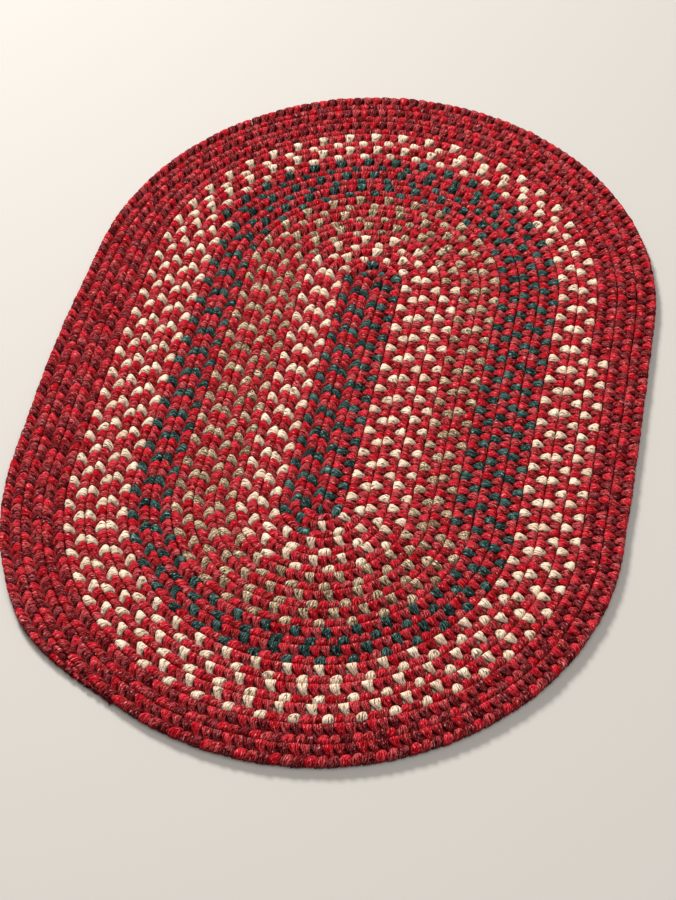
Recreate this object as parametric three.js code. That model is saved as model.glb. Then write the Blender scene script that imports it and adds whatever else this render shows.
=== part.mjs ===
// An oval braided rug, lying flat: one long flat plait of three yarn strands, coiled outward from a
// straight start and laced edge to edge, so that it is a single piece. Each round of the plait is a
// rounded ridge on the top face, with a groove where it is laced to the next.
//
// Millimetres, +Z up. X runs along the rug, Y across it, and the origin is at the middle of the
// underside.

import * as THREE from 'three';

// ---- Driving dimensions ----

const plaitWidth = 17.5; // from groove to groove
const roundsOut = 14; // plaits on each side of the one in the middle
const startLength = 260; // the straight start of the coil, between its two turns
const thickness = 10; // floor to the crown of a plait
const grooveDepth = 3.2; // crown down to the laced seam
const pressedAngle = 30; // degrees of a plait's round underside that the floor presses flat

// The free end of the plait lies along the near turn and tapers into the round inside it.
const tail = { taperFrom: 126, taperTo: 152, tipHeight: 0.8 };

// A hand-laced coil is never a perfect oval. Each row is one wave round the rim, in mm, and it
// fades towards the middle of the rug.
const unevenness = [
  { waves: 2, cosine: 0.9, sine: -0.1 },
  { waves: 3, cosine: 0.7, sine: -0.9 },
  { waves: 4, cosine: 2.1, sine: -0.2 },
  { waves: 5, cosine: 0.2, sine: 0.5 },
];
const fadePower = 4;

// ---- How finely the surface is drawn ----

const turnSteps = 28; // rays in each half-circle turn
const straightSteps = 6; // rays along each straight side
const quartersPerPlait = 4; // points across a plait: crown, shoulder, groove, shoulder
const rimAngles = [30, 60, 90, 120, 180 - pressedAngle]; // round the outer edge, from the crown

// ---- Sizes that follow ----

const quarter = plaitWidth / quartersPerPlait;
const halfPlait = plaitWidth / 2;
const halfWidth = (roundsOut + 0.5) * plaitWidth;
const farTurn = { x: startLength / 2, y: 0 };
const nearTurn = { x: -startLength / 2, y: -halfPlait };

const radians = THREE.MathUtils.degToRad;

// ---- Plan of the coil ----

// How far the hand-laid coil strays outward at a point of the perfect oval.
function stray(x, y, fromStart) {
  const bearing = Math.atan2(y, x);
  const atRim = unevenness.reduce(
    (sum, { waves, cosine, sine }) =>
      sum + cosine * Math.cos(waves * bearing) + sine * Math.sin(waves * bearing),
    0
  );
  return atRim * (fromStart / halfWidth) ** fadePower;
}

// Moves a point of the perfect oval to its place on the uneven one.
function lay(x, y) {
  const nearest = THREE.MathUtils.clamp(x, -startLength / 2, startLength / 2);
  const fromStart = Math.hypot(x - nearest, y);
  if (fromStart === 0) {
    return { x, y };
  }
  const out = stray(x, y, fromStart) / fromStart;
  return { x: x + (x - nearest) * out, y: y + y * out };
}

// ---- Vertices, shared wherever two rays meet ----

const vertices = [];
const vertexAt = new Map();

function vertex(x, y, z) {
  const key = [x, y, z].map((value) => value.toFixed(3)).join();
  if (!vertexAt.has(key)) {
    const spot = lay(x, y);
    vertexAt.set(key, vertices.length);
    vertices.push(new THREE.Vector3(spot.x, spot.y, z));
  }
  return vertexAt.get(key);
}

// Height of the top face, counted in quarters of a plait from a crown.
function topHeight(quarters) {
  const across = Math.abs(quarters % quartersPerPlait) / (quartersPerPlait / 2);
  const fromCrown = Math.min(across, 2 - across);
  return thickness - grooveDepth * fromCrown ** 2;
}

// ---- Rays: lines of vertices from the start of the coil out to the underside's edge ----

// A ray leaves centre in direction. It crosses the ridges up to the crown of the outermost plait,
// then follows that plait's round edge down to the floor.
function ray({ centre, direction, crownQuarters, phase, tailShare }) {
  const at = (distance, z) =>
    vertex(centre.x + direction.x * distance, centre.y + direction.y * distance, z);

  const line = [];
  for (let i = 0; i <= crownQuarters; i++) {
    line.push(at(i * quarter, topHeight(i + phase)));
  }
  let crown = crownQuarters * quarter;
  let share = 1;
  let height = thickness;
  if (tailShare > 0) {
    share = tailShare;
    height = thickness * THREE.MathUtils.lerp(tail.tipHeight, 1, tailShare);
    line.push(at(crown + quarter, topHeight(1)), at(crown + halfPlait, topHeight(2)));
    crown += halfPlait + halfPlait * share;
    line.push(at(crown - quarter * share, (topHeight(1) * height) / thickness));
    line.push(at(crown, height));
  }
  const foot = Math.cos(radians(pressedAngle));
  for (const angle of rimAngles) {
    const z = (height * (Math.cos(radians(angle)) + foot)) / (1 + foot);
    line.push(at(crown + halfPlait * share * Math.sin(radians(angle)), Math.max(z, 0)));
  }
  return line;
}

// The share of its full width that the free end still has, at a bearing round the near turn.
function tailShareAt(bearing) {
  return 1 - THREE.MathUtils.smoothstep(bearing, tail.taperFrom, tail.taperTo);
}

function turnRays(centre, from, crownQuarters, phase, shareAt) {
  const rays = [];
  for (let i = 0; i <= turnSteps; i++) {
    const bearing = from + (180 * i) / turnSteps;
    const direction = { x: Math.cos(radians(bearing)), y: Math.sin(radians(bearing)) };
    rays.push(ray({ centre, direction, crownQuarters, phase, tailShare: shareAt(bearing) }));
  }
  return rays;
}

function straightRays(side, crownQuarters) {
  const rays = [];
  for (let i = 0; i <= straightSteps; i++) {
    const x = side * startLength * (0.5 - i / straightSteps);
    const centre = { x, y: nearTurn.y };
    const direction = { x: 0, y: side };
    rays.push(ray({ centre, direction, crownQuarters, phase: 2, tailShare: 0 }));
  }
  return rays;
}

const outerCrown = roundsOut * quartersPerPlait;
const noTail = () => 0;

// Counter-clockwise round the rug. The near turn's inner rays stop one plait short, because the
// free end is the outermost plait there.
const sides = [
  turnRays(farTurn, -90, outerCrown, 0, noTail),
  straightRays(1, outerCrown + 2),
  turnRays(nearTurn, 90, outerCrown - 2, 2, tailShareAt),
  straightRays(-1, outerCrown - 2),
];

// ---- Faces ----

const faces = [];

function face(a, b, c) {
  if (a !== b && b !== c && c !== a) {
    faces.push(a, b, c);
  }
}

// Fills the strip between one ray and the next, which may have fewer points near their ends.
function fillBetween(ray, next) {
  let i = 0;
  let j = 0;
  while (i < ray.length - 1 || j < next.length - 1) {
    const rayIsBehind = j === next.length - 1 || (i < ray.length - 1 && i <= j);
    if (rayIsBehind) {
      face(ray[i], ray[i + 1], next[j]);
      i++;
    } else {
      face(ray[i], next[j + 1], next[j]);
      j++;
    }
  }
}

for (const rays of sides) {
  for (let i = 0; i + 1 < rays.length; i++) {
    fillBetween(rays[i], rays[i + 1]);
  }
}

// The underside is the flat area inside the last vertices of all the rays.
const edge = [...new Set(sides.flat().map((line) => line.at(-1)))];
const edgeOutline = edge.map((index) => new THREE.Vector2(vertices[index].x, vertices[index].y));
for (const [a, b, c] of THREE.ShapeUtils.triangulateShape(edgeOutline, [])) {
  face(edge[a], edge[c], edge[b]);
}

// ---- The rug ----

function rugGeometry() {
  const geometry = new THREE.BufferGeometry().setFromPoints(vertices);
  geometry.setIndex(faces);
  geometry.computeBoundingBox();
  const middle = geometry.boundingBox.getCenter(new THREE.Vector3());
  geometry.translate(-middle.x, -middle.y, 0);
  geometry.computeVertexNormals();
  return geometry;
}

const wool = new THREE.MeshStandardMaterial({ color: 0x8f2330, roughness: 0.95, metalness: 0 });
const rug = new THREE.Mesh(rugGeometry(), wool);
rug.name = 'braided_rug';

const part = new THREE.Group();
part.add(rug);

export default part;
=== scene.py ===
# %% [markdown]
# # A braided oval rug
#
# The rug is one long flat plait of three yarn strands. It is coiled outward from a straight start
# and laced edge to edge, so it lies on the floor as a single sheet. Two of the strands, one bright
# red and one heather red, run through the whole rug. The third, the accent strand, changes colour
# from band to band: green, cream, tan, green, cream and, in the dark rim, burgundy.
#
# The solid model of the rug is one piece, an oval with a plain ridge for each round. A bumpy
# material on that solid would be quick, but bump has no outline: the rim would stay smooth, and no
# strand could pass behind another. So the strands themselves stand for the solid here, each a soft
# tube that follows its own way through the plait.

import bpy
import numpy as np
from mathutils import Euler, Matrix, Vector


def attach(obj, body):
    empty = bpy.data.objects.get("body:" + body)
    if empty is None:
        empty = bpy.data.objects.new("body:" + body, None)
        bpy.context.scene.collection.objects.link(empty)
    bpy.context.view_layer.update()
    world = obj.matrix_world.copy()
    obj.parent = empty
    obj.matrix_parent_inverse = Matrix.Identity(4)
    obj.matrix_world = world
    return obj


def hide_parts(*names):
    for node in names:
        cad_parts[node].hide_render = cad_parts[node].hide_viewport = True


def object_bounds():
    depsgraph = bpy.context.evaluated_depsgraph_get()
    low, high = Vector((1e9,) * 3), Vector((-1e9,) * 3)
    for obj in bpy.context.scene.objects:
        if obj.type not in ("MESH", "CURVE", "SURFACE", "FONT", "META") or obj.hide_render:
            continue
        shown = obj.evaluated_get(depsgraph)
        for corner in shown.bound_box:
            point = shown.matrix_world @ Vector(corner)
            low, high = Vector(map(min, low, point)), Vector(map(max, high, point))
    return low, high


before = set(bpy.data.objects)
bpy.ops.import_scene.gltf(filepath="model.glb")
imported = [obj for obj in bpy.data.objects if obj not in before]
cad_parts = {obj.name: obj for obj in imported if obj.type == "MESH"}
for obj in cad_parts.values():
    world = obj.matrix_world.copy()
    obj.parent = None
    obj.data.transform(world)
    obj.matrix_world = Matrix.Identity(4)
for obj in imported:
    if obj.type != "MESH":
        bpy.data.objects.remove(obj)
solid_box = [list(corner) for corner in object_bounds()]
rug_length, rug_width, rug_height = np.subtract(solid_box[1], solid_box[0])
print("nodes:", sorted(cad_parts))
print(f"rug: {rug_length:.3f} x {rug_width:.3f} x {rug_height:.3f} m")

# %% [markdown]
# ## Sizes
#
# All lengths are in metres, unless a comment says otherwise. X runs along the rug and Y across it.
# These are the sizes that the strands share with the solid, so that they lie where its ridges are.

# %% Sizes
MM = 0.001

plait_width = 17.5 * MM
rounds_out = 14  # plaits on each side of the one in the middle
start_length = 260 * MM
thickness = 10 * MM
half_width = (rounds_out + 0.5) * plait_width

far_turn = np.array([start_length / 2, 0.0])
near_turn = np.array([-start_length / 2, -plait_width / 2])

# The free end lies along the near turn and tapers between these two bearings about it.
taper_from, taper_to = np.radians([126, 152])
tip_height = 0.8  # how much of its height it keeps

# The other end is turned in at the middle of the rug, within this length. Its tip keeps this share
# of the plait's width, so that no face of it shrinks to nothing.
start_tuck = 7.5 * MM
start_tip = 0.1

print(f"{2 * rounds_out + 1} plaits across, {half_width / MM:.1f} mm from the middle to the rim")

# %% [markdown]
# ## Where the plait runs
#
# The coil is a chain of straight rows and half-circle turns. The turns at the far end are centred on
# one point, and those at the near end on another half a plait to the side. That half plait is what
# makes it a spiral: each time round, the radius has grown by one plait.
#
# Blender's Curve modifier could bend straight strands along a drawn path. A table of stretches is
# as short, and it also gives the lengths and bearings that the bands and the ends need. Each row has
# a turning centre, a distance from it and a bearing, and then runs either straight on or round the
# centre.

# %% The stretches of the coil
stretches = []


def lay_stretch(centre, radius, bearing, length, turning):
    stretches.append((*centre, radius, np.radians(bearing), length, turning))


for k in range(rounds_out + 1):
    inner, outer = (k + 0.5) * plait_width, (k + 1) * plait_width
    lay_stretch(far_turn, k * plait_width, 90, start_length, False)
    if k == rounds_out:
        lay_stretch(near_turn, inner, 90, inner * (taper_to - np.pi / 2), True)
        break
    lay_stretch(near_turn, inner, 90, np.pi * inner, True)
    lay_stretch(near_turn, inner, 270, start_length, False)
    lay_stretch(far_turn, outer, 270, np.pi * outer, True)

centre_x, centre_y, radius, bearing, length, turning = np.array(stretches).T
stretch_start = np.concatenate([[0], np.cumsum(length)[:-1]])
plait_length = length.sum()
print(f"{len(stretches)} stretches, {plait_length:.2f} m of plait")

# %% [markdown]
# `on_coil` turns plait coordinates into a place on the floor. Its inputs are the length along the
# plait and the distance across it, positive outward. It works on whole arrays at once, because some
# three hundred thousand points have to be placed. The tapered end draws in towards the round inside
# it, so its centre line shifts as it narrows.

# %% Plait coordinates to floor coordinates
tightest_radius = 0.6 * MM  # no point comes nearer than this to the centre of a turn


def smoothstep(low, high, value):
    share = np.clip((value - low) / (high - low), 0, 1)
    return share * share * (3 - 2 * share)


def width_share(along):
    """How much of its full width the plait has: 1, and less at its two ends."""
    tail_bearing = np.pi / 2 + (along - stretch_start[-1]) / radius[-1]
    tail = 1 - smoothstep(taper_from, taper_to, tail_bearing)
    start = np.sqrt(np.clip(1 - (np.minimum(along, 0) / start_tuck) ** 2, 0, 1))
    return np.minimum(tail, np.maximum(start, start_tip))


def on_coil(along, across):
    i = np.clip(np.searchsorted(stretch_start, along, side="right") - 1, 0, None)
    past = along - stretch_start[i]
    turns = turning[i] > 0
    angle = bearing[i] + np.where(turns, past / np.maximum(radius[i], tightest_radius), 0)
    straight_on = np.where(turns, 0, past)
    drawn_in = np.where(along > stretch_start[-1], (1 - width_share(along)) * plait_width / 2, 0)
    reach = radius[i] - drawn_in + across
    reach = np.where(turns, np.maximum(reach, tightest_radius), reach)
    x = centre_x[i] + reach * np.cos(angle) - straight_on * np.sin(angle)
    y = centre_y[i] + reach * np.sin(angle) + straight_on * np.cos(angle)
    return x, y


end_x, end_y = on_coil(np.array([0.0, plait_length]), np.zeros(2))
print(f"it starts at {end_x[0]:.3f}, {end_y[0]:.3f} m and ends at {end_x[1]:.3f}, {end_y[1]:.3f} m")

# %% [markdown]
# A coil that is laced by hand is never a perfect oval. A few slow waves round the rim, each up to a
# couple of millimetres high, give the outline its lopsided look. They fade out towards the middle.
# The same waves shape the solid. The last step slides everything so that the rug's box is centred.

# %% The uneven outline
unevenness = [
    # waves round the rim, cosine part, sine part
    (2, 0.9 * MM, -0.1 * MM),
    (3, 0.7 * MM, -0.9 * MM),
    (4, 2.1 * MM, -0.2 * MM),
    (5, 0.2 * MM, 0.5 * MM),
]
fade_power = 4
middle = np.array([5.42, 1.32]) * MM  # of the uneven oval's box
least_distance = 1e-9  # stands for 0, which nothing can be divided by


def lay_unevenly(x, y):
    nearest = np.clip(x, -start_length / 2, start_length / 2)
    from_start = np.maximum(np.hypot(x - nearest, y), least_distance)
    around = np.arctan2(y, x)
    at_rim = sum(c * np.cos(n * around) + s * np.sin(n * around) for n, c, s in unevenness)
    out = at_rim * (from_start / half_width) ** fade_power / from_start
    return x + (x - nearest) * out - middle[0], y + y * out - middle[1]


rim_y = lay_unevenly(0.0, half_width)[1] + middle[1]
print(f"one side's rim is {rim_y / MM:.1f} mm out, where an even oval's is {half_width / MM:.1f} mm")

# %% [markdown]
# ## How tight the plait is
#
# A strand needs about 25 mm of plait to come back to the same place, and in that length it shows
# once in each of the two columns of lobes on the top face. The plaiter pulled tighter in some rounds
# than in others, so this repeat is shortest near the middle of the rug and longest in the outer
# rounds. Two functions turn a length into a count of repeats, and back.

# %% The repeat of the plait
repeats = [
    # metres along the plait, length of one repeat from there on
    (0.0, 24.46 * MM),
    (2.9, 24.75 * MM),
    (9.0, 25.16 * MM),
    (12.0, 24.75 * MM),
    (16.6, 25.45 * MM),
]
repeat_from, repeat_length = np.array(repeats).T
repeats_before = np.concatenate([[0], np.cumsum(np.diff(repeat_from) / repeat_length[:-1])])
lobes_per_repeat = 6  # on the top face, two for each strand


def repeats_at(along):
    i = np.clip(np.searchsorted(repeat_from, along, side="right") - 1, 0, None)
    return repeats_before[i] + (along - repeat_from[i]) / repeat_length[i]


def length_at(repeat):
    i = np.clip(np.searchsorted(repeats_before, repeat, side="right") - 1, 0, None)
    return repeat_from[i] + (repeat - repeats_before[i]) * repeat_length[i]


whole_repeats = float(repeats_at(plait_length))
print(f"{whole_repeats:.0f} repeats, {whole_repeats * lobes_per_repeat:.0f} lobes on the top face")

# %% [markdown]
# ## How a strand moves through the plait
#
# Cut across, the path of a strand is a figure of eight lying on its side. It rises round one edge,
# crosses over to the middle, dives between the other two, and comes up round the other edge. So its
# distance across is a sine of an angle and its height is a sine of twice that angle. The three
# strands do the same thing a third of a repeat apart, and that is all a three-strand plait is.
#
# Plain sines give a loose, ropy plait. A tight one shows short knobs that lie almost squarely across
# it. Its strands do most of their travel along the plait in the middle, where the others hide them,
# and keep to the faces as long as they can before they dive. They are squeezed to less than half
# their width where they cross, which is why a lobe narrows towards the middle, and a very little
# where they wrap round an edge.

# %% The shape of a strand
sway = 6.85 * MM  # from the middle of the plait to the strand's centre, at an edge
rise = 3.0 * MM  # from mid-height to the strand's centre, on a face
half_thick = 2.0 * MM
half_wide = 5.15 * MM
squeezed = 0.55  # how much of its width it loses where the strands cross
pinched = 0.06  # how much of its width it loses where it wraps round an edge
hurry = (0.6, 0.14, 0.02)  # how unevenly it travels along, in 2, 4 and 6 waves a repeat
hidden = 0.3  # radians by which most of that travel comes late, under the other strands
flatness = 0.18  # how long it keeps to a face, from 0
lead = 0.22  # radians by which it rises early at an edge and dives early in the middle

print(f"a strand is {half_wide / MM * 2:.1f} mm wide and {half_thick / MM * 2:.1f} mm thick")
print(f"where the strands cross it is {half_wide / MM * 2 * (1 - squeezed):.1f} mm wide")

# %% [markdown]
# In hand-plaited yarn some lobes are fuller than others. Slow random changes do that here. Their
# seeds are fixed, so the rug comes out the same each time. A Displace modifier could ruffle the
# finished mesh, but it moves every point by itself, and here whole stretches of a strand shift.

# %% Hand-made unevenness
wander_across = 0.25 * MM
wander_up = 0.15 * MM
wander_along = 0.3 * MM
wander_wide = 0.07  # of the strand's width
wander_thick = 0.04  # of its thickness
rings_per_wander = 4


def slow_noise(rng, count, spacing):
    """Smooth random values about 0, one for each ring, that change over spacing rings."""
    knots = rng.normal(size=count // spacing + 3)
    return np.interp(np.arange(count) / spacing, np.arange(len(knots)), knots)


print("a slow noise:", slow_noise(np.random.default_rng(1), 9, rings_per_wander).round(2))

# %% [markdown]
# The path is worked out at rings, 16 to a repeat. The rings of every strand stand at the same angles
# of its own figure of eight. If they didn't, the corners of the mesh would cut the lobes of one
# strand shorter than those of another.

# %% The path of a strand
rings_per_repeat = 16
ring_slack = 0.01  # of a step, so that a cut that falls on a ring keeps that ring

# Where the plait tapers to nothing, a strand still has these shares of its rise and its width.
tail_rise = 0.4
tail_width = 0.75


def strand_path(place, from_repeat, to_repeat, seed):
    """Points along, across and above the plait, and half the strand's width and thickness."""
    first = int(np.ceil((from_repeat + place / 3) * rings_per_repeat - ring_slack))
    last = int(np.floor((to_repeat + place / 3) * rings_per_repeat + ring_slack))
    turns = np.arange(first, last + 1) / rings_per_repeat
    repeat = turns - place / 3
    phase = 2 * np.pi * turns
    rng = np.random.default_rng(seed)
    aside, up, wider, thicker, onward = (
        slow_noise(rng, len(turns), rings_per_wander) for _ in range(5)
    )

    ahead = sum(h * np.sin(n * (phase - hidden)) for h, n in zip(hurry, (2, 4, 6)))
    along = length_at(repeat + ahead / (2 * np.pi)) + wander_along * onward
    share = width_share(along)
    lift = tip_height + (1 - tip_height) * share
    across = sway * np.sin(phase) + wander_across * aside
    rising = phase + lead
    over = (np.sin(2 * rising) + flatness * np.sin(6 * rising)) / (1 - flatness)
    height = thickness / 2 - rise * over * (tail_rise + (1 - tail_rise) * share) + wander_up * up
    path = np.stack([along, across * share, height * lift], axis=-1)

    wide = half_wide * (1 - squeezed * np.cos(phase) ** 4 - pinched * np.sin(phase) ** 8)
    wide = wide * (1 + wander_wide * wider) * (tail_width + (1 - tail_width) * share)
    thick = half_thick * (1 + wander_thick * thicker) * np.sqrt(share)
    return path, wide, thick


print(f"a ring every {repeat_length.mean() / rings_per_repeat / MM:.2f} mm of plait")

# %% [markdown]
# ## The lacing
#
# A strong dark thread sews each round to the one inside it. It zigzags along the groove, a stitch to
# each lobe, and hardly shows. It could be left out, but then the floor would show through wherever
# two rounds don't quite touch. A tube 3 mm thick, a little below mid-height, closes the groove. The
# thread is real, and its dark red is also painted shade for the bottom of the groove.

# %% The path of the lacing
thread_radius = 1.5 * MM
thread_height = 0.45 * thickness
stitch_reach = 1.3 * MM  # how far it swings to each side of the groove
stitch_dip = 0.4 * MM  # how far it rises and falls
stitches_per_repeat = 3
rings_per_stitch = 4


def lacing_path():
    stitches = whole_repeats * stitches_per_repeat
    first_turn = float(repeats_at(start_length)) * stitches_per_repeat
    count = int((stitches - first_turn) * rings_per_stitch) + 1
    stitch = np.linspace(first_turn, stitches, count)
    along = length_at(stitch / stitches_per_repeat)
    across = -plait_width / 2 + stitch_reach * np.sin(np.pi * stitch)
    height = thread_height + stitch_dip * np.cos(2 * np.pi * stitch)
    path = np.stack([along, across * width_share(along), height], axis=-1)
    return path, np.full(count, thread_radius), np.full(count, thread_radius)


print(f"{len(lacing_path()[0]) // rings_per_stitch} stitches")

# %% [markdown]
# ## From a path to a mesh
#
# Rings of points go round the path, and neighbouring rings are joined by four-sided faces. Each end
# is closed by a fan to one point. A curve with a bevel makes a tube too, but its section can only
# grow and shrink as a whole, and this one has to narrow without getting thinner. The wide side of
# a strand keeps to the plait's own direction, so it lies flat on the faces and stands on edge where
# it wraps round the side.

# %% Rings and faces
squareness = 2.3  # 2 is an ellipse, more is boxier and less is more pointed


def unit(vectors):
    return vectors / np.linalg.norm(vectors, axis=-1, keepdims=True)


def rings_about(path, wide, thick, points_round, wide_side):
    """Points of the rings of a tube, in plait coordinates."""
    forward = unit(np.gradient(path, axis=0))
    widthways = unit(wide_side - (forward @ wide_side)[:, None] * forward)
    through = np.cross(forward, widthways)
    angle = 2 * np.pi * np.arange(points_round) / points_round
    cosine, sine = np.cos(angle), np.sin(angle)
    section_wide = np.sign(cosine) * np.abs(cosine) ** (2 / squareness)
    section_thick = np.sign(sine) * np.abs(sine) ** (2 / squareness)
    rings = path[:, None] + (wide[:, None] * section_wide)[..., None] * widthways[:, None]
    rings += (thick[:, None] * section_thick)[..., None] * through[:, None]
    rings[..., 2] = np.clip(rings[..., 2], 0, thickness)
    return rings


def tube_faces(rings, points_round):
    ring = np.arange(rings - 1)[:, None] * points_round
    point = np.arange(points_round)[None, :]
    after = (point + 1) % points_round
    corners = [ring + point, ring + points_round + point, ring + points_round + after, ring + after]
    return np.stack(corners, axis=-1).reshape(-1, 4)


def end_fans(rings, points_round):
    first = rings * points_round
    point = np.arange(points_round)
    after = (point + 1) % points_round
    last_ring = (rings - 1) * points_round
    start = np.stack([np.full(points_round, first), point, after], axis=-1)
    end = np.stack([np.full(points_round, first + 1), last_ring + after, last_ring + point], axis=-1)
    return np.concatenate([start, end])


print(f"10 rings of 8 points have {len(tube_faces(10, 8))} faces and {len(end_fans(10, 8))} in fans")

# %% [markdown]
# Two UV maps go on each tube. `yarn` is in millimetres along and around, and the material draws its
# fibres there. `OFBake` lays the same faces out in neat rows in a square, for when the material is
# painted onto an image. Blender could unwrap the tube by itself, but it would choose where to cut
# and how to turn each piece, and the fibres would show every cut.

# %% UV maps
girth = 24.0  # mm round a strand
strip_shape = 8  # how many times as tall as it is wide a strip between two rings is laid out
strip_inset = 0.04  # the share of a row left empty at its bottom and at its top


def yarn_map(points, strip, point):
    """Millimetres along the tube's own path and around its section, for each face's corners."""
    centres = points.mean(axis=1)
    steps = np.linalg.norm(np.diff(centres, axis=0), axis=1)
    travelled = np.concatenate([[0], np.cumsum(steps)]) / MM
    left, right = travelled[strip], travelled[strip + 1]
    side = girth / points.shape[1]
    low, high = point * side, (point + 1) * side
    return np.stack([left, low, right, low, right, high, left, high], axis=-1)


def bake_map(rings, points_round, strip, point):
    """The ring-to-ring strips side by side in rows that fill a square."""
    strips = rings - 1
    per_row = int(np.ceil(np.sqrt(strips * strip_shape)))
    rows = int(np.ceil(strips / per_row))
    used = 1 - 2 * strip_inset
    left = (strip % per_row) / per_row
    right = left + 1 / per_row
    low = (strip // per_row + strip_inset + used * point / points_round) / rows
    high = low + used / points_round / rows
    return np.stack([left, low, right, low, right, high, left, high], axis=-1)


print(f"the yarn map is {girth:.0f} mm high, once round a strand")

# %% [markdown]
# `tube_mesh` puts it together. The rings were worked out as if the plait were straight, and only
# here are they laid on the coil. So a strand bends with its round, and its section stays right.

# %% Mesh of a tube
def tube_mesh(name, rings):
    count, points_round = rings.shape[:2]
    x, y = lay_unevenly(*on_coil(rings[..., 0], rings[..., 1]))
    points = np.stack([x, y, rings[..., 2]], axis=-1)
    ends = [points[0].mean(axis=0), points[-1].mean(axis=0)]
    vertices = np.concatenate([points.reshape(-1, 3), ends])
    quads = tube_faces(count, points_round)
    fans = end_fans(count, points_round)

    mesh = bpy.data.meshes.new(name)
    mesh.from_pydata(vertices.tolist(), [], quads.tolist() + fans.tolist())
    mesh.polygons.foreach_set("use_smooth", np.ones(len(mesh.polygons), bool))

    strip, point = np.divmod(np.arange(len(quads)), points_round)
    maps = {
        "yarn": yarn_map(points, strip, point),
        "OFBake": bake_map(count, points_round, strip, point),
    }
    for layer, corners in maps.items():
        uv = mesh.uv_layers.new(name=layer)
        fan_corners = np.tile(corners[0, :2], 3 * len(fans))
        uv.uv.foreach_set("vector", np.concatenate([corners.ravel(), fan_corners]))
    mesh.update()
    print(f"{name}: {len(mesh.polygons)} faces")
    return mesh


# %% [markdown]
# ## Shader maths, written as Python
#
# A material is a graph of nodes, and its maths reads badly as a list of links. `Wire` wraps one
# output socket. Its operators add the Math node that does the same sum, and their reflected forms
# let a plain number stand first, as in `1 - mask`. Only numbers are added up in this way. Colours
# are mixed with `Finish.mix` below, because a Math node would turn them grey.

# %% Wire
class Wire:
    """An output socket of a material, with arithmetic."""

    def __init__(self, finish, socket):
        self.finish = finish
        self.socket = socket

    def _sum(self, operation, first, second):
        return self.finish.node("ShaderNodeMath", {"operation": operation}, {0: first, 1: second})

    def __add__(self, other):
        return self._sum("ADD", self, other)

    def __radd__(self, other):
        return self._sum("ADD", other, self)

    def __sub__(self, other):
        return self._sum("SUBTRACT", self, other)

    def __rsub__(self, other):
        return self._sum("SUBTRACT", other, self)

    def __mul__(self, other):
        return self._sum("MULTIPLY", self, other)

    def __rmul__(self, other):
        return self._sum("MULTIPLY", other, self)

    def __truediv__(self, other):
        return self._sum("DIVIDE", self, other)

    def __rtruediv__(self, other):
        return self._sum("DIVIDE", other, self)

    def maths(self, operation):
        """A Math node with one input, such as SINE, FLOOR or FRACT."""
        return self.finish.node("ShaderNodeMath", {"operation": operation}, {0: self})

    def above(self, low, high):
        """0 up to low, 1 from high on, and a smooth step between."""
        return self.finish.node(
            "ShaderNodeMapRange",
            {"interpolation_type": "SMOOTHSTEP"},
            {"Value": self, "From Min": low, "From Max": high},
        )


print("Wire:", Wire.__doc__)

# %% [markdown]
# `Finish` is a material under construction. Its method `node` is the one way to add any node: it
# takes the node's type, then its settings, then the numbers or wires that go into its sockets. The
# shorter methods are for the nodes that are used most.

# %% Finish
class Finish:
    """A material under construction."""

    def __init__(self, name):
        self.material = bpy.data.materials.new(name)
        self.material.use_nodes = True
        self.tree = self.material.node_tree
        self.tree.nodes.clear()

    def node(self, kind, settings=None, sockets=None, output=0):
        made = self.tree.nodes.new(kind)
        for name, value in (settings or {}).items():
            if name == "stops":
                self._set_stops(made.color_ramp, value)
            else:
                setattr(made, name, value)
        for name, value in (sockets or {}).items():
            if isinstance(value, Wire):
                self.tree.links.new(value.socket, made.inputs[name])
            else:
                made.inputs[name].default_value = value
        return Wire(self, made.outputs[output]) if made.outputs else None

    def _set_stops(self, ramp, stops):
        while len(ramp.elements) > 1:
            ramp.elements.remove(ramp.elements[-1])
        for i, (position, colour) in enumerate(stops):
            element = ramp.elements[0] if i == 0 else ramp.elements.new(position)
            element.position = position
            element.color = colour

    def mix(self, share, first, second):
        """Colour first where share is 0, second where it is 1."""
        # The colours are inputs 6 and 7 of this node, and the mixed colour is output 2.
        return self.node(
            "ShaderNodeMix",
            {"data_type": "RGBA", "clamp_factor": True},
            {0: share, 6: first, 7: second},
            output=2,
        )

    def noise(self, place, detail):
        """Noise about 0.5 at a 2-D place, whose numbers are in sizes of the noise's own grain."""
        return self.node(
            "ShaderNodeTexNoise",
            {"noise_dimensions": "2D"},
            {"Vector": place, "Scale": 1.0, "Detail": detail, "Roughness": 0.5},
        )

    def place(self, x, y):
        return self.node("ShaderNodeCombineXYZ", None, {"X": x, "Y": y})

    def part(self, place, axis):
        """The X, Y or Z of a place."""
        return self.node("ShaderNodeSeparateXYZ", None, {0: place}, output=axis)


print("Finish:", Finish.__doc__)

# %% [markdown]
# Colours are easiest to choose as they look on a screen, from 0 to 255. Shaders work with linear
# light, in which a middle grey is only about a fifth of white, so `tone` converts them.

# %% Colours
def tone(red, green, blue):
    """A colour given as it looks on a screen, 0 to 255, as the linear values that shaders use."""
    share = np.array([red, green, blue]) / 255
    linear = np.where(share <= 0.04045, share / 12.92, ((share + 0.055) / 1.055) ** 2.4)
    return (*linear.tolist(), 1.0)


print(f"a middle grey is {tone(128, 128, 128)[0]:.2f} of white")

# %% [markdown]
# ## The yarn
#
# Each strand is a soft cord of fine wool-blend yarns that run along it with a slight twist. Close
# up there are three things to see. The single yarns, or plies, make fine ridges. The dye is uneven,
# so one lobe is a little darker or warmer than the next. The heather strands are spun from several
# colours, which show as short flecks along the yarn.
#
# An image of yarn could be wrapped round the strands, but it would blur close up, and it would
# repeat. Noise does neither. It is drawn in millimetres in the `yarn` UV map, so the fibres follow
# the strand round every bend.
#
# The plies come first. Distance round the strand, counted in plies, tells them apart: the whole
# number says which ply a point is in, and what is left over says how far across it. A ply is highest
# along its middle, its crown, and its own twist makes fine ridges over it.

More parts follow.
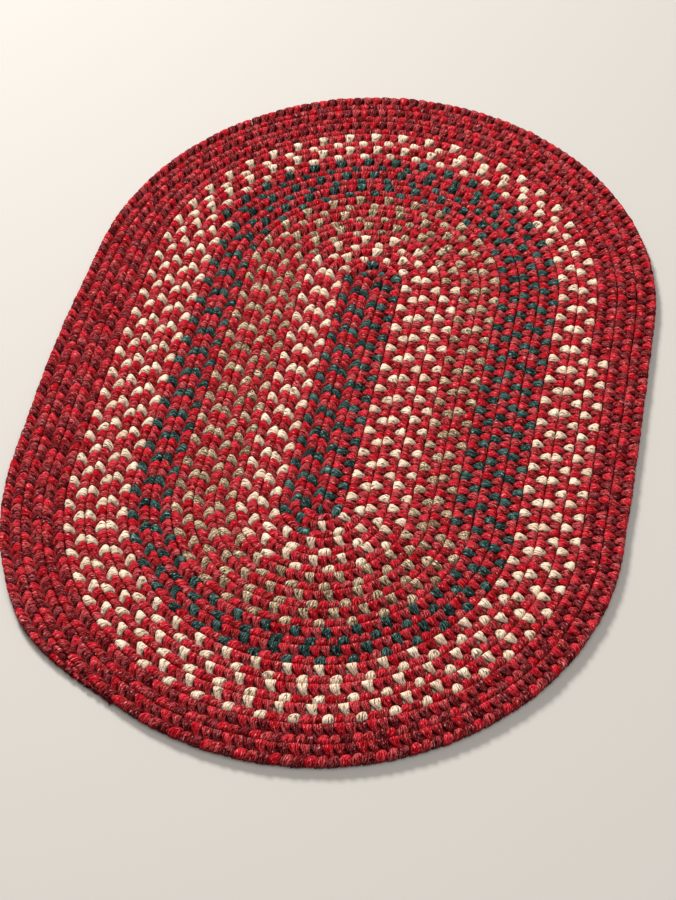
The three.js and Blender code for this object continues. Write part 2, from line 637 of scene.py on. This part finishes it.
# %% Plies
ply_width = 1.6  # mm
ply_twist = 1.8  # mm along a ply for each turn of its own twist
twist_slant = 0.8  # turns by which a ridge of that twist leans, from side to side of the ply
twist_spread = 5  # turns over which the twists of different plies start
strand_twist = 0.12  # mm round the strand for each mm along it
stray_length, stray_girth = 6, 3  # mm along and round over which a ply strays from its line
stray = 2.0  # mm that it strays for the whole range of the noise, which it seldom fills


def yarn_plies(finish, along, around, seed):
    """Plies counted round the strand, each one's crown, and the ridges of its own twist."""
    wobble = finish.place(along / stray_length + seed, around / stray_girth)
    wobble = finish.noise(wobble, detail=1)
    plies = (around + along * strand_twist + wobble * stray) / ply_width
    in_ply = plies.maths("FRACT")
    crown = (in_ply * np.pi).maths("SINE")
    lane = plies.maths("FLOOR") + seed
    own = finish.node("ShaderNodeTexWhiteNoise", {"noise_dimensions": "1D"}, {"W": lane})
    turns = along / ply_twist + in_ply * twist_slant + own * twist_spread
    return plies, crown, (turns * (2 * np.pi)).maths("SINE")


print(f"{girth / ply_width:.0f} plies round a strand")

# %% [markdown]
# Two colours of wool spun together don't blend into one. They stay side by side as flecks, each a
# short stretch of one ply. A noise that is stretched along the yarn gives such stretches wherever
# it passes a level, and the higher the level, the rarer the flecks.

# %% Flecks
fleck_length = 2.4  # mm
flecks_per_ply = 1.4  # the noise's grains across a ply
fleck_edge = 0.06  # how softly a fleck ends, in levels of the noise
fleck_shift = 40  # grains between the noise of one fleck colour and that of the next


def flecked(finish, colour, flecks, along, plies):
    """The colour with flecks, each given as a colour and the level of noise where it begins."""
    for i, (fleck, level) in enumerate(flecks):
        grain = finish.place(along / fleck_length + fleck_shift * (i + 1), plies * flecks_per_ply)
        shows = finish.noise(grain, detail=1).above(level, level + fleck_edge)
        colour = finish.mix(shows, colour, fleck)
    return colour


print(f"a fleck is about {fleck_length} mm long and {ply_width / flecks_per_ply:.1f} mm wide")

# %% [markdown]
# Light hardly reaches the slits where plies part, the two sides of a strand where its neighbours
# press on it, and the places deep down in the plait. The renderer shades the mesh by itself, but it
# knows nothing of loose fibres, so a little extra darkness is painted there. The height above the
# floor says how deep down a point is.

# %% Creases, painted shade
painted_shade_tone = 0.3  # how light a crease is, as a share of the yarn's deep tone
side_share = 0.2  # how far a strand's two sides go towards it
side_from, side_to = 0.3, 1.0  # cosines round the strand, which are 1 at its two sides
sunk_share = 0.25  # how far the deepest places do
sunk_from, sunk_to = 0.8 * thickness, 0.4 * thickness


def with_painted_shade(finish, colour, painted_shade_colour, slit, around):
    """The colour darkened with painted shade at the sides, deep down and in the slits."""
    side = (around * (4 * np.pi / girth)).maths("COSINE").above(side_from, side_to)
    position = finish.node("ShaderNodeNewGeometry", output="Position")
    sunk_shade = 1 - finish.part(position, "Z").above(sunk_to, sunk_from)
    # Painted shade: the strand's sides and the deep places are darkened first, then the slits.
    colour = finish.mix(side * side_share + sunk_shade * sunk_share, colour, painted_shade_colour)
    return finish.mix(slit, colour, painted_shade_colour)


print(f"creases darken from {sunk_from / MM:.0f} mm down to {sunk_to / MM:.0f} mm above the floor")

# %% [markdown]
# One function makes all seven finishes, each from three tones of its dye. Clouds of noise as long as
# a lobe make one lobe differ from the next, and long narrow streaks make the plies differ. The
# crowns and twist ridges of the plies are added as painted light and shade: lighter on top of a ply,
# darker at its sides. The sum runs through a colour ramp from the deep tone to the light one. The
# plies, streaks and slits also feed a Bump node, because ridges this fine would take many millions
# of faces. The yarn hardly shines, and the crown of a ply is a little smoother than its sides.

# %% The yarn finish
cloud_length, cloud_girth = 16, 40  # mm
streak_length = 7  # mm
streaks_per_ply = 1.1
slit_length = 3.4  # mm
slits_per_ply = 1.5
slit_shift = 7  # grains between the noise of the slits and that of the streaks
slit_from, slit_to = 0.58, 0.65  # levels of the noise between which a slit opens
deep_at, body_at, light_at = 0.32, 0.5, 0.68  # shades at which the three tones lie
relief_strength = 0.8
relief_height = 0.5 * MM  # of a relief of 1
side_roughness = 0.92
crown_smoothness = 0.12  # how much less rough a crown is
shine = 0.03


def yarn_finish(name, deep, body, light, seed, flecks=(), gaps=0.5):
    """A finish from three tones of one dye. At gaps of 1, the slits are as dark as the creases."""
    finish = Finish(name)
    uv = finish.node("ShaderNodeUVMap", {"uv_map": "yarn"})
    along = finish.part(uv, "X")
    around = finish.part(uv, "Y")
    plies, crown, twist = yarn_plies(finish, along, around, seed)

    cloud = finish.noise(finish.place(along / cloud_length + seed, around / cloud_girth), detail=0)
    streak = finish.place(along / streak_length + seed, plies * streaks_per_ply)
    streak = finish.noise(streak, detail=1)
    slit = finish.place(along / slit_length + slit_shift + seed, plies * slits_per_ply)
    slit = finish.noise(slit, detail=1).above(slit_from, slit_to) * gaps

    # Clouds and streaks are the dye. The crowns and twist ridges are painted light and shade on the
    # plies. What the crowns add on average is taken off again, so that the sum stays about 0.5.
    dye_and_ply_shading = cloud * 0.36 + streak * 0.64 + (crown + twist * 0.35) * 0.28 - 0.18
    ramp = {"stops": [(deep_at, deep), (body_at, body), (light_at, light)]}
    colour = finish.node("ShaderNodeValToRGB", ramp, {0: dye_and_ply_shading})
    colour = flecked(finish, colour, flecks, along, plies)
    # The shade colour, a share of the deep tone, is painted into the creases and the slits.
    painted_shade_colour = (*(painted_shade_tone * channel for channel in deep[:3]), 1.0)
    colour = with_painted_shade(finish, colour, painted_shade_colour, slit, around)

    relief = crown * 0.9 + twist * 0.28 + streak * 0.8 - slit * 1.2
    bump = finish.node(
        "ShaderNodeBump",
        None,
        {"Strength": relief_strength, "Distance": relief_height, "Height": relief},
    )
    surface = finish.node(
        "ShaderNodeBsdfPrincipled",
        None,
        {
            "Base Color": colour,
            "Roughness": side_roughness - crown * crown_smoothness,
            "Normal": bump,
            "Specular IOR Level": shine,
        },
    )
    finish.node("ShaderNodeOutputMaterial", None, {"Surface": surface})
    print(f"{name}: {len(finish.tree.nodes)} nodes")
    return finish.material


# %% [markdown]
# The two reds are close in hue. What tells them apart is that the bright one is pure and clean, and
# the heather one is duller, with pale and dark flecks in it. The bright one's pale pink flecks are
# painted highlights.

# %% The red yarns
bright_red = yarn_finish(
    "bright red yarn",
    tone(142, 8, 16),
    tone(172, 16, 33),
    tone(188, 58, 66),
    # painted highlights, pale pink, on the clean red
    flecks=[(tone(206, 106, 108), 0.66)],
    gaps=0.8,
    seed=3.0,
)
heather_red = yarn_finish(
    "heather red yarn",
    tone(118, 14, 16),
    tone(154, 32, 38),
    tone(180, 80, 82),
    flecks=[(tone(200, 126, 128), 0.68), (tone(80, 6, 8), 0.63)],
    gaps=0.8,
    seed=11.0,
)

# %% [markdown]
# The accent yarns give the bands their colours. Cream is of one colour and has no flecks, but its
# slits show most, because everything round them is so light.

# %% The accent yarns
green = yarn_finish(
    "teal green yarn",
    tone(16, 28, 28),
    tone(36, 56, 54),
    tone(72, 100, 94),
    flecks=[(tone(112, 148, 138), 0.66)],
    gaps=0.8,
    seed=19.0,
)
cream = yarn_finish(
    "cream yarn",
    tone(202, 174, 148),
    tone(219, 194, 168),
    tone(231, 212, 189),
    gaps=1.0,
    seed=23.0,
)
tan_heather = yarn_finish(
    "tan heather yarn",
    tone(100, 76, 56),
    tone(156, 130, 102),
    tone(204, 182, 152),
    flecks=[(tone(64, 46, 36), 0.62), (tone(230, 216, 192), 0.66)],
    gaps=0.7,
    seed=31.0,
)
burgundy = yarn_finish(
    "burgundy heather yarn",
    tone(78, 10, 12),
    tone(108, 20, 26),
    tone(144, 62, 64),
    flecks=[(tone(176, 122, 126), 0.68), (tone(40, 6, 8), 0.63)],
    gaps=0.8,
    seed=37.0,
)

# %% [markdown]
# The lacing thread only shows as a dark line at the bottom of the grooves, so it takes the same
# finish in dark red and needs no flecks. That dark red is partly the thread's own colour and partly
# painted shade for the depth of the grooves.

# %% The lacing thread
# A real thread, whose dark red also paints the shade at the bottom of the grooves.
thread_and_groove_shade = yarn_finish(
    "dark lacing thread and painted groove shade",
    tone(54, 10, 12),
    tone(92, 18, 22),
    tone(124, 36, 40),
    seed=43.0,
)
print(len(bpy.data.materials), "materials")

# %% [markdown]
# ## The strands
#
# The accent strand changes colour where a new cord was sewn on to the old one. A maker hides that
# join on the underside, so each change is moved to the nearest place where the strand runs beneath
# the other two. One long accent strand with four materials would look the same, but a piece for each
# band is easier to find and to change. The heather red strand is cut in the same bands, which keeps
# its pieces small. The bright red strand stays in one length.

# %% Bands and ends
bands = [
    # name, metres of plait from the start to the end of the band, finish of the accent strand
    ("green_start", 0.905, green),
    ("inner_cream", 2.866, cream),
    ("tan", 5.883, tan_heather),
    ("outer_green", 9.330, green),
    ("outer_cream", 13.780, cream),
    ("burgundy_rim", plait_length, burgundy),
]
# A third of a repeat lies between one strand and the next.
heather_place, red_place, accent_place = 0, 1, 2
underside = 1 / 8  # the part of a repeat at which a strand is at its lowest
tuck_filled = 0.97  # how much of the turned-in start the strands fill
tail_left = 0.1  # repeats of the plait's tip that they leave empty
start_repeat = -start_tuck / repeat_length[0] * tuck_filled
end_repeat = whole_repeats - tail_left


def hidden_join(along, place):
    """The repeat nearest to a length at which that strand runs underneath."""
    lowest = underside - place / 3
    halves = np.round((float(repeats_at(along)) - lowest) * 2)
    return halves / 2 + lowest


first_join = length_at(hidden_join(bands[0][1], accent_place))
print(f"the accent strand turns from green to cream at {first_join:.3f} m of plait")

# %% [markdown]
# Every piece rides on the rug's one body and stands for its one solid. Eight points round a strand
# are enough, because smooth shading hides the flats of something so small.

# %% Laying a piece
strand_points = 8
thread_points = 4
along_the_plait = np.array([1.0, 0.0, 0.0])
upright = np.array([0.0, 0.0, 1.0])


def lay_piece(name, rings, finish):
    mesh = tube_mesh(name, rings)
    mesh.materials.append(finish)
    piece = bpy.data.objects.new(name, mesh)
    bpy.context.scene.collection.objects.link(piece)
    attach(piece, "root")
    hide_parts("braided_rug")
    return piece


def lay_strand(name, place, from_repeat, to_repeat, finish, seed):
    path, wide, thick = strand_path(place, from_repeat, to_repeat, seed)
    rings = rings_about(path, wide, thick, strand_points, along_the_plait)
    return lay_piece(name, rings, finish)


red_strand = lay_strand("red_strand", red_place, start_repeat, end_repeat, bright_red, 100)

# %% [markdown]
# The other two strands are laid band by band. Each piece begins where the one before it ends, and
# has a seed of its own. The lacing thread comes last.

# %% Laying the rest
other_strands = []
for place, kind in ((accent_place, "accent"), (heather_place, "heather")):
    begin = start_repeat
    for number, (band, until, accent) in enumerate(bands):
        end = end_repeat if until == plait_length else hidden_join(until, place)
        finish = accent if kind == "accent" else heather_red
        seed = 200 + 10 * place + number
        name = f"{kind}_{band}"
        other_strands.append(lay_strand(name, place, begin, end, finish, seed))
        begin = end

lacing = lay_piece("lacing", rings_about(*lacing_path(), thread_points, upright), thread_and_groove_shade)
other_strands.append(lacing)

triangles = sum(
    len(p.vertices) - 2 for s in [red_strand, *other_strands] for p in s.data.polygons
)
print(1 + len(other_strands), "pieces,", triangles, "triangles")

# %% [markdown]
# ## The floor
#
# The rug lies on a plain pale floor, one large square. It is stage: it shows in the renders and
# isn't part of the rug.

# %% Floor
reach = 6.0
floor_mesh = bpy.data.meshes.new("floor")
floor_mesh.from_pydata(
    [(-reach, -reach, 0), (reach, -reach, 0), (reach, reach, 0), (-reach, reach, 0)],
    [],
    [(0, 1, 2, 3)],
)
floor = bpy.data.objects.new("floor", floor_mesh)
bpy.context.scene.collection.objects.link(floor)
floor_finish = Finish("pale floor")
floor_shader = floor_finish.node(
    "ShaderNodeBsdfPrincipled",
    None,
    {"Base Color": tone(166, 163, 158), "Roughness": 0.7},
)
floor_finish.node("ShaderNodeOutputMaterial", None, {"Surface": floor_shader})
floor_mesh.materials.append(floor_finish.material)
print(f"floor: {2 * reach:.0f} m square")

# %% [markdown]
# ## What kind of cloth it is
#
# The rug is one sheet that is laid flat, and its area is that of the oval. The bright red strand
# runs through all of it.

# %% [markdown]
# ## Light
#
# A soft light stands beyond the rug's far left corner, like a window. It rakes across the lobes and
# leaves a low shadow along the near and right edges. A wider and weaker light hangs over the near
# right side, and a dim, even surround fills the rest. With the window alone, the grooves that it
# doesn't reach would be black.

# %% Light
def soft_light(name, place, size, watts, colour):
    lamp = bpy.data.lights.new(name, "AREA")
    lamp.shape = "DISK"
    lamp.size = size
    lamp.energy = watts
    lamp.color = colour
    light = bpy.data.objects.new(name, lamp)
    light.location = place
    light.rotation_euler = (-Vector(place)).to_track_quat("-Z", "Y").to_euler()
    bpy.context.scene.collection.objects.link(light)
    print(f"{name}: {watts} W, {size} m wide, {Vector(place).length:.1f} m from the rug")


soft_light("window", (1.9, 1.5, 2.2), size=0.9, watts=168, colour=(1.0, 0.965, 0.93))
soft_light("ceiling", (-0.8, -0.6, 2.8), size=2.4, watts=62, colour=(1.0, 0.98, 0.96))

surround = bpy.data.worlds.new("surround")
surround.use_nodes = True
background = surround.node_tree.nodes["Background"]
background.inputs["Color"].default_value = (1.0, 0.97, 0.94, 1.0)
background.inputs["Strength"].default_value = 0.3
bpy.context.scene.world = surround
bpy.context.scene.view_settings.view_transform = "Standard"

# %% [markdown]
# ## Camera
#
# The camera stands off the near end and looks down at the rug at nearly 50 degrees. It could be
# placed by its own position and angles, but then every change would also move the rug in the frame.
# So it is placed by the point it looks at, the direction it looks in, and how far off it is.

# %% Camera
looks_at = Vector((-0.0735, -0.0103, 0.005))
distance = 1.689
look_bearing, look_down, roll = np.radians([11.74, 48.94, -0.28])
lens = 81.4  # mm
sensor_side = 36  # mm, its long side

camera_data = bpy.data.cameras.new("camera")
camera_data.lens = lens
camera_data.sensor_width = sensor_side
camera = bpy.data.objects.new("camera", camera_data)
look = Vector(
    (
        np.cos(look_down) * np.cos(look_bearing),
        np.cos(look_down) * np.sin(look_bearing),
        -np.sin(look_down),
    )
)
camera.location = looks_at - look * distance
camera.rotation_euler = (
    look.to_track_quat("-Z", "Y") @ Euler((0, 0, roll)).to_quaternion()
).to_euler()
bpy.context.scene.collection.objects.link(camera)
bpy.context.scene.camera = camera
print("camera at", [round(c, 3) for c in camera.location])

# %% [markdown]
# ## The finished rug
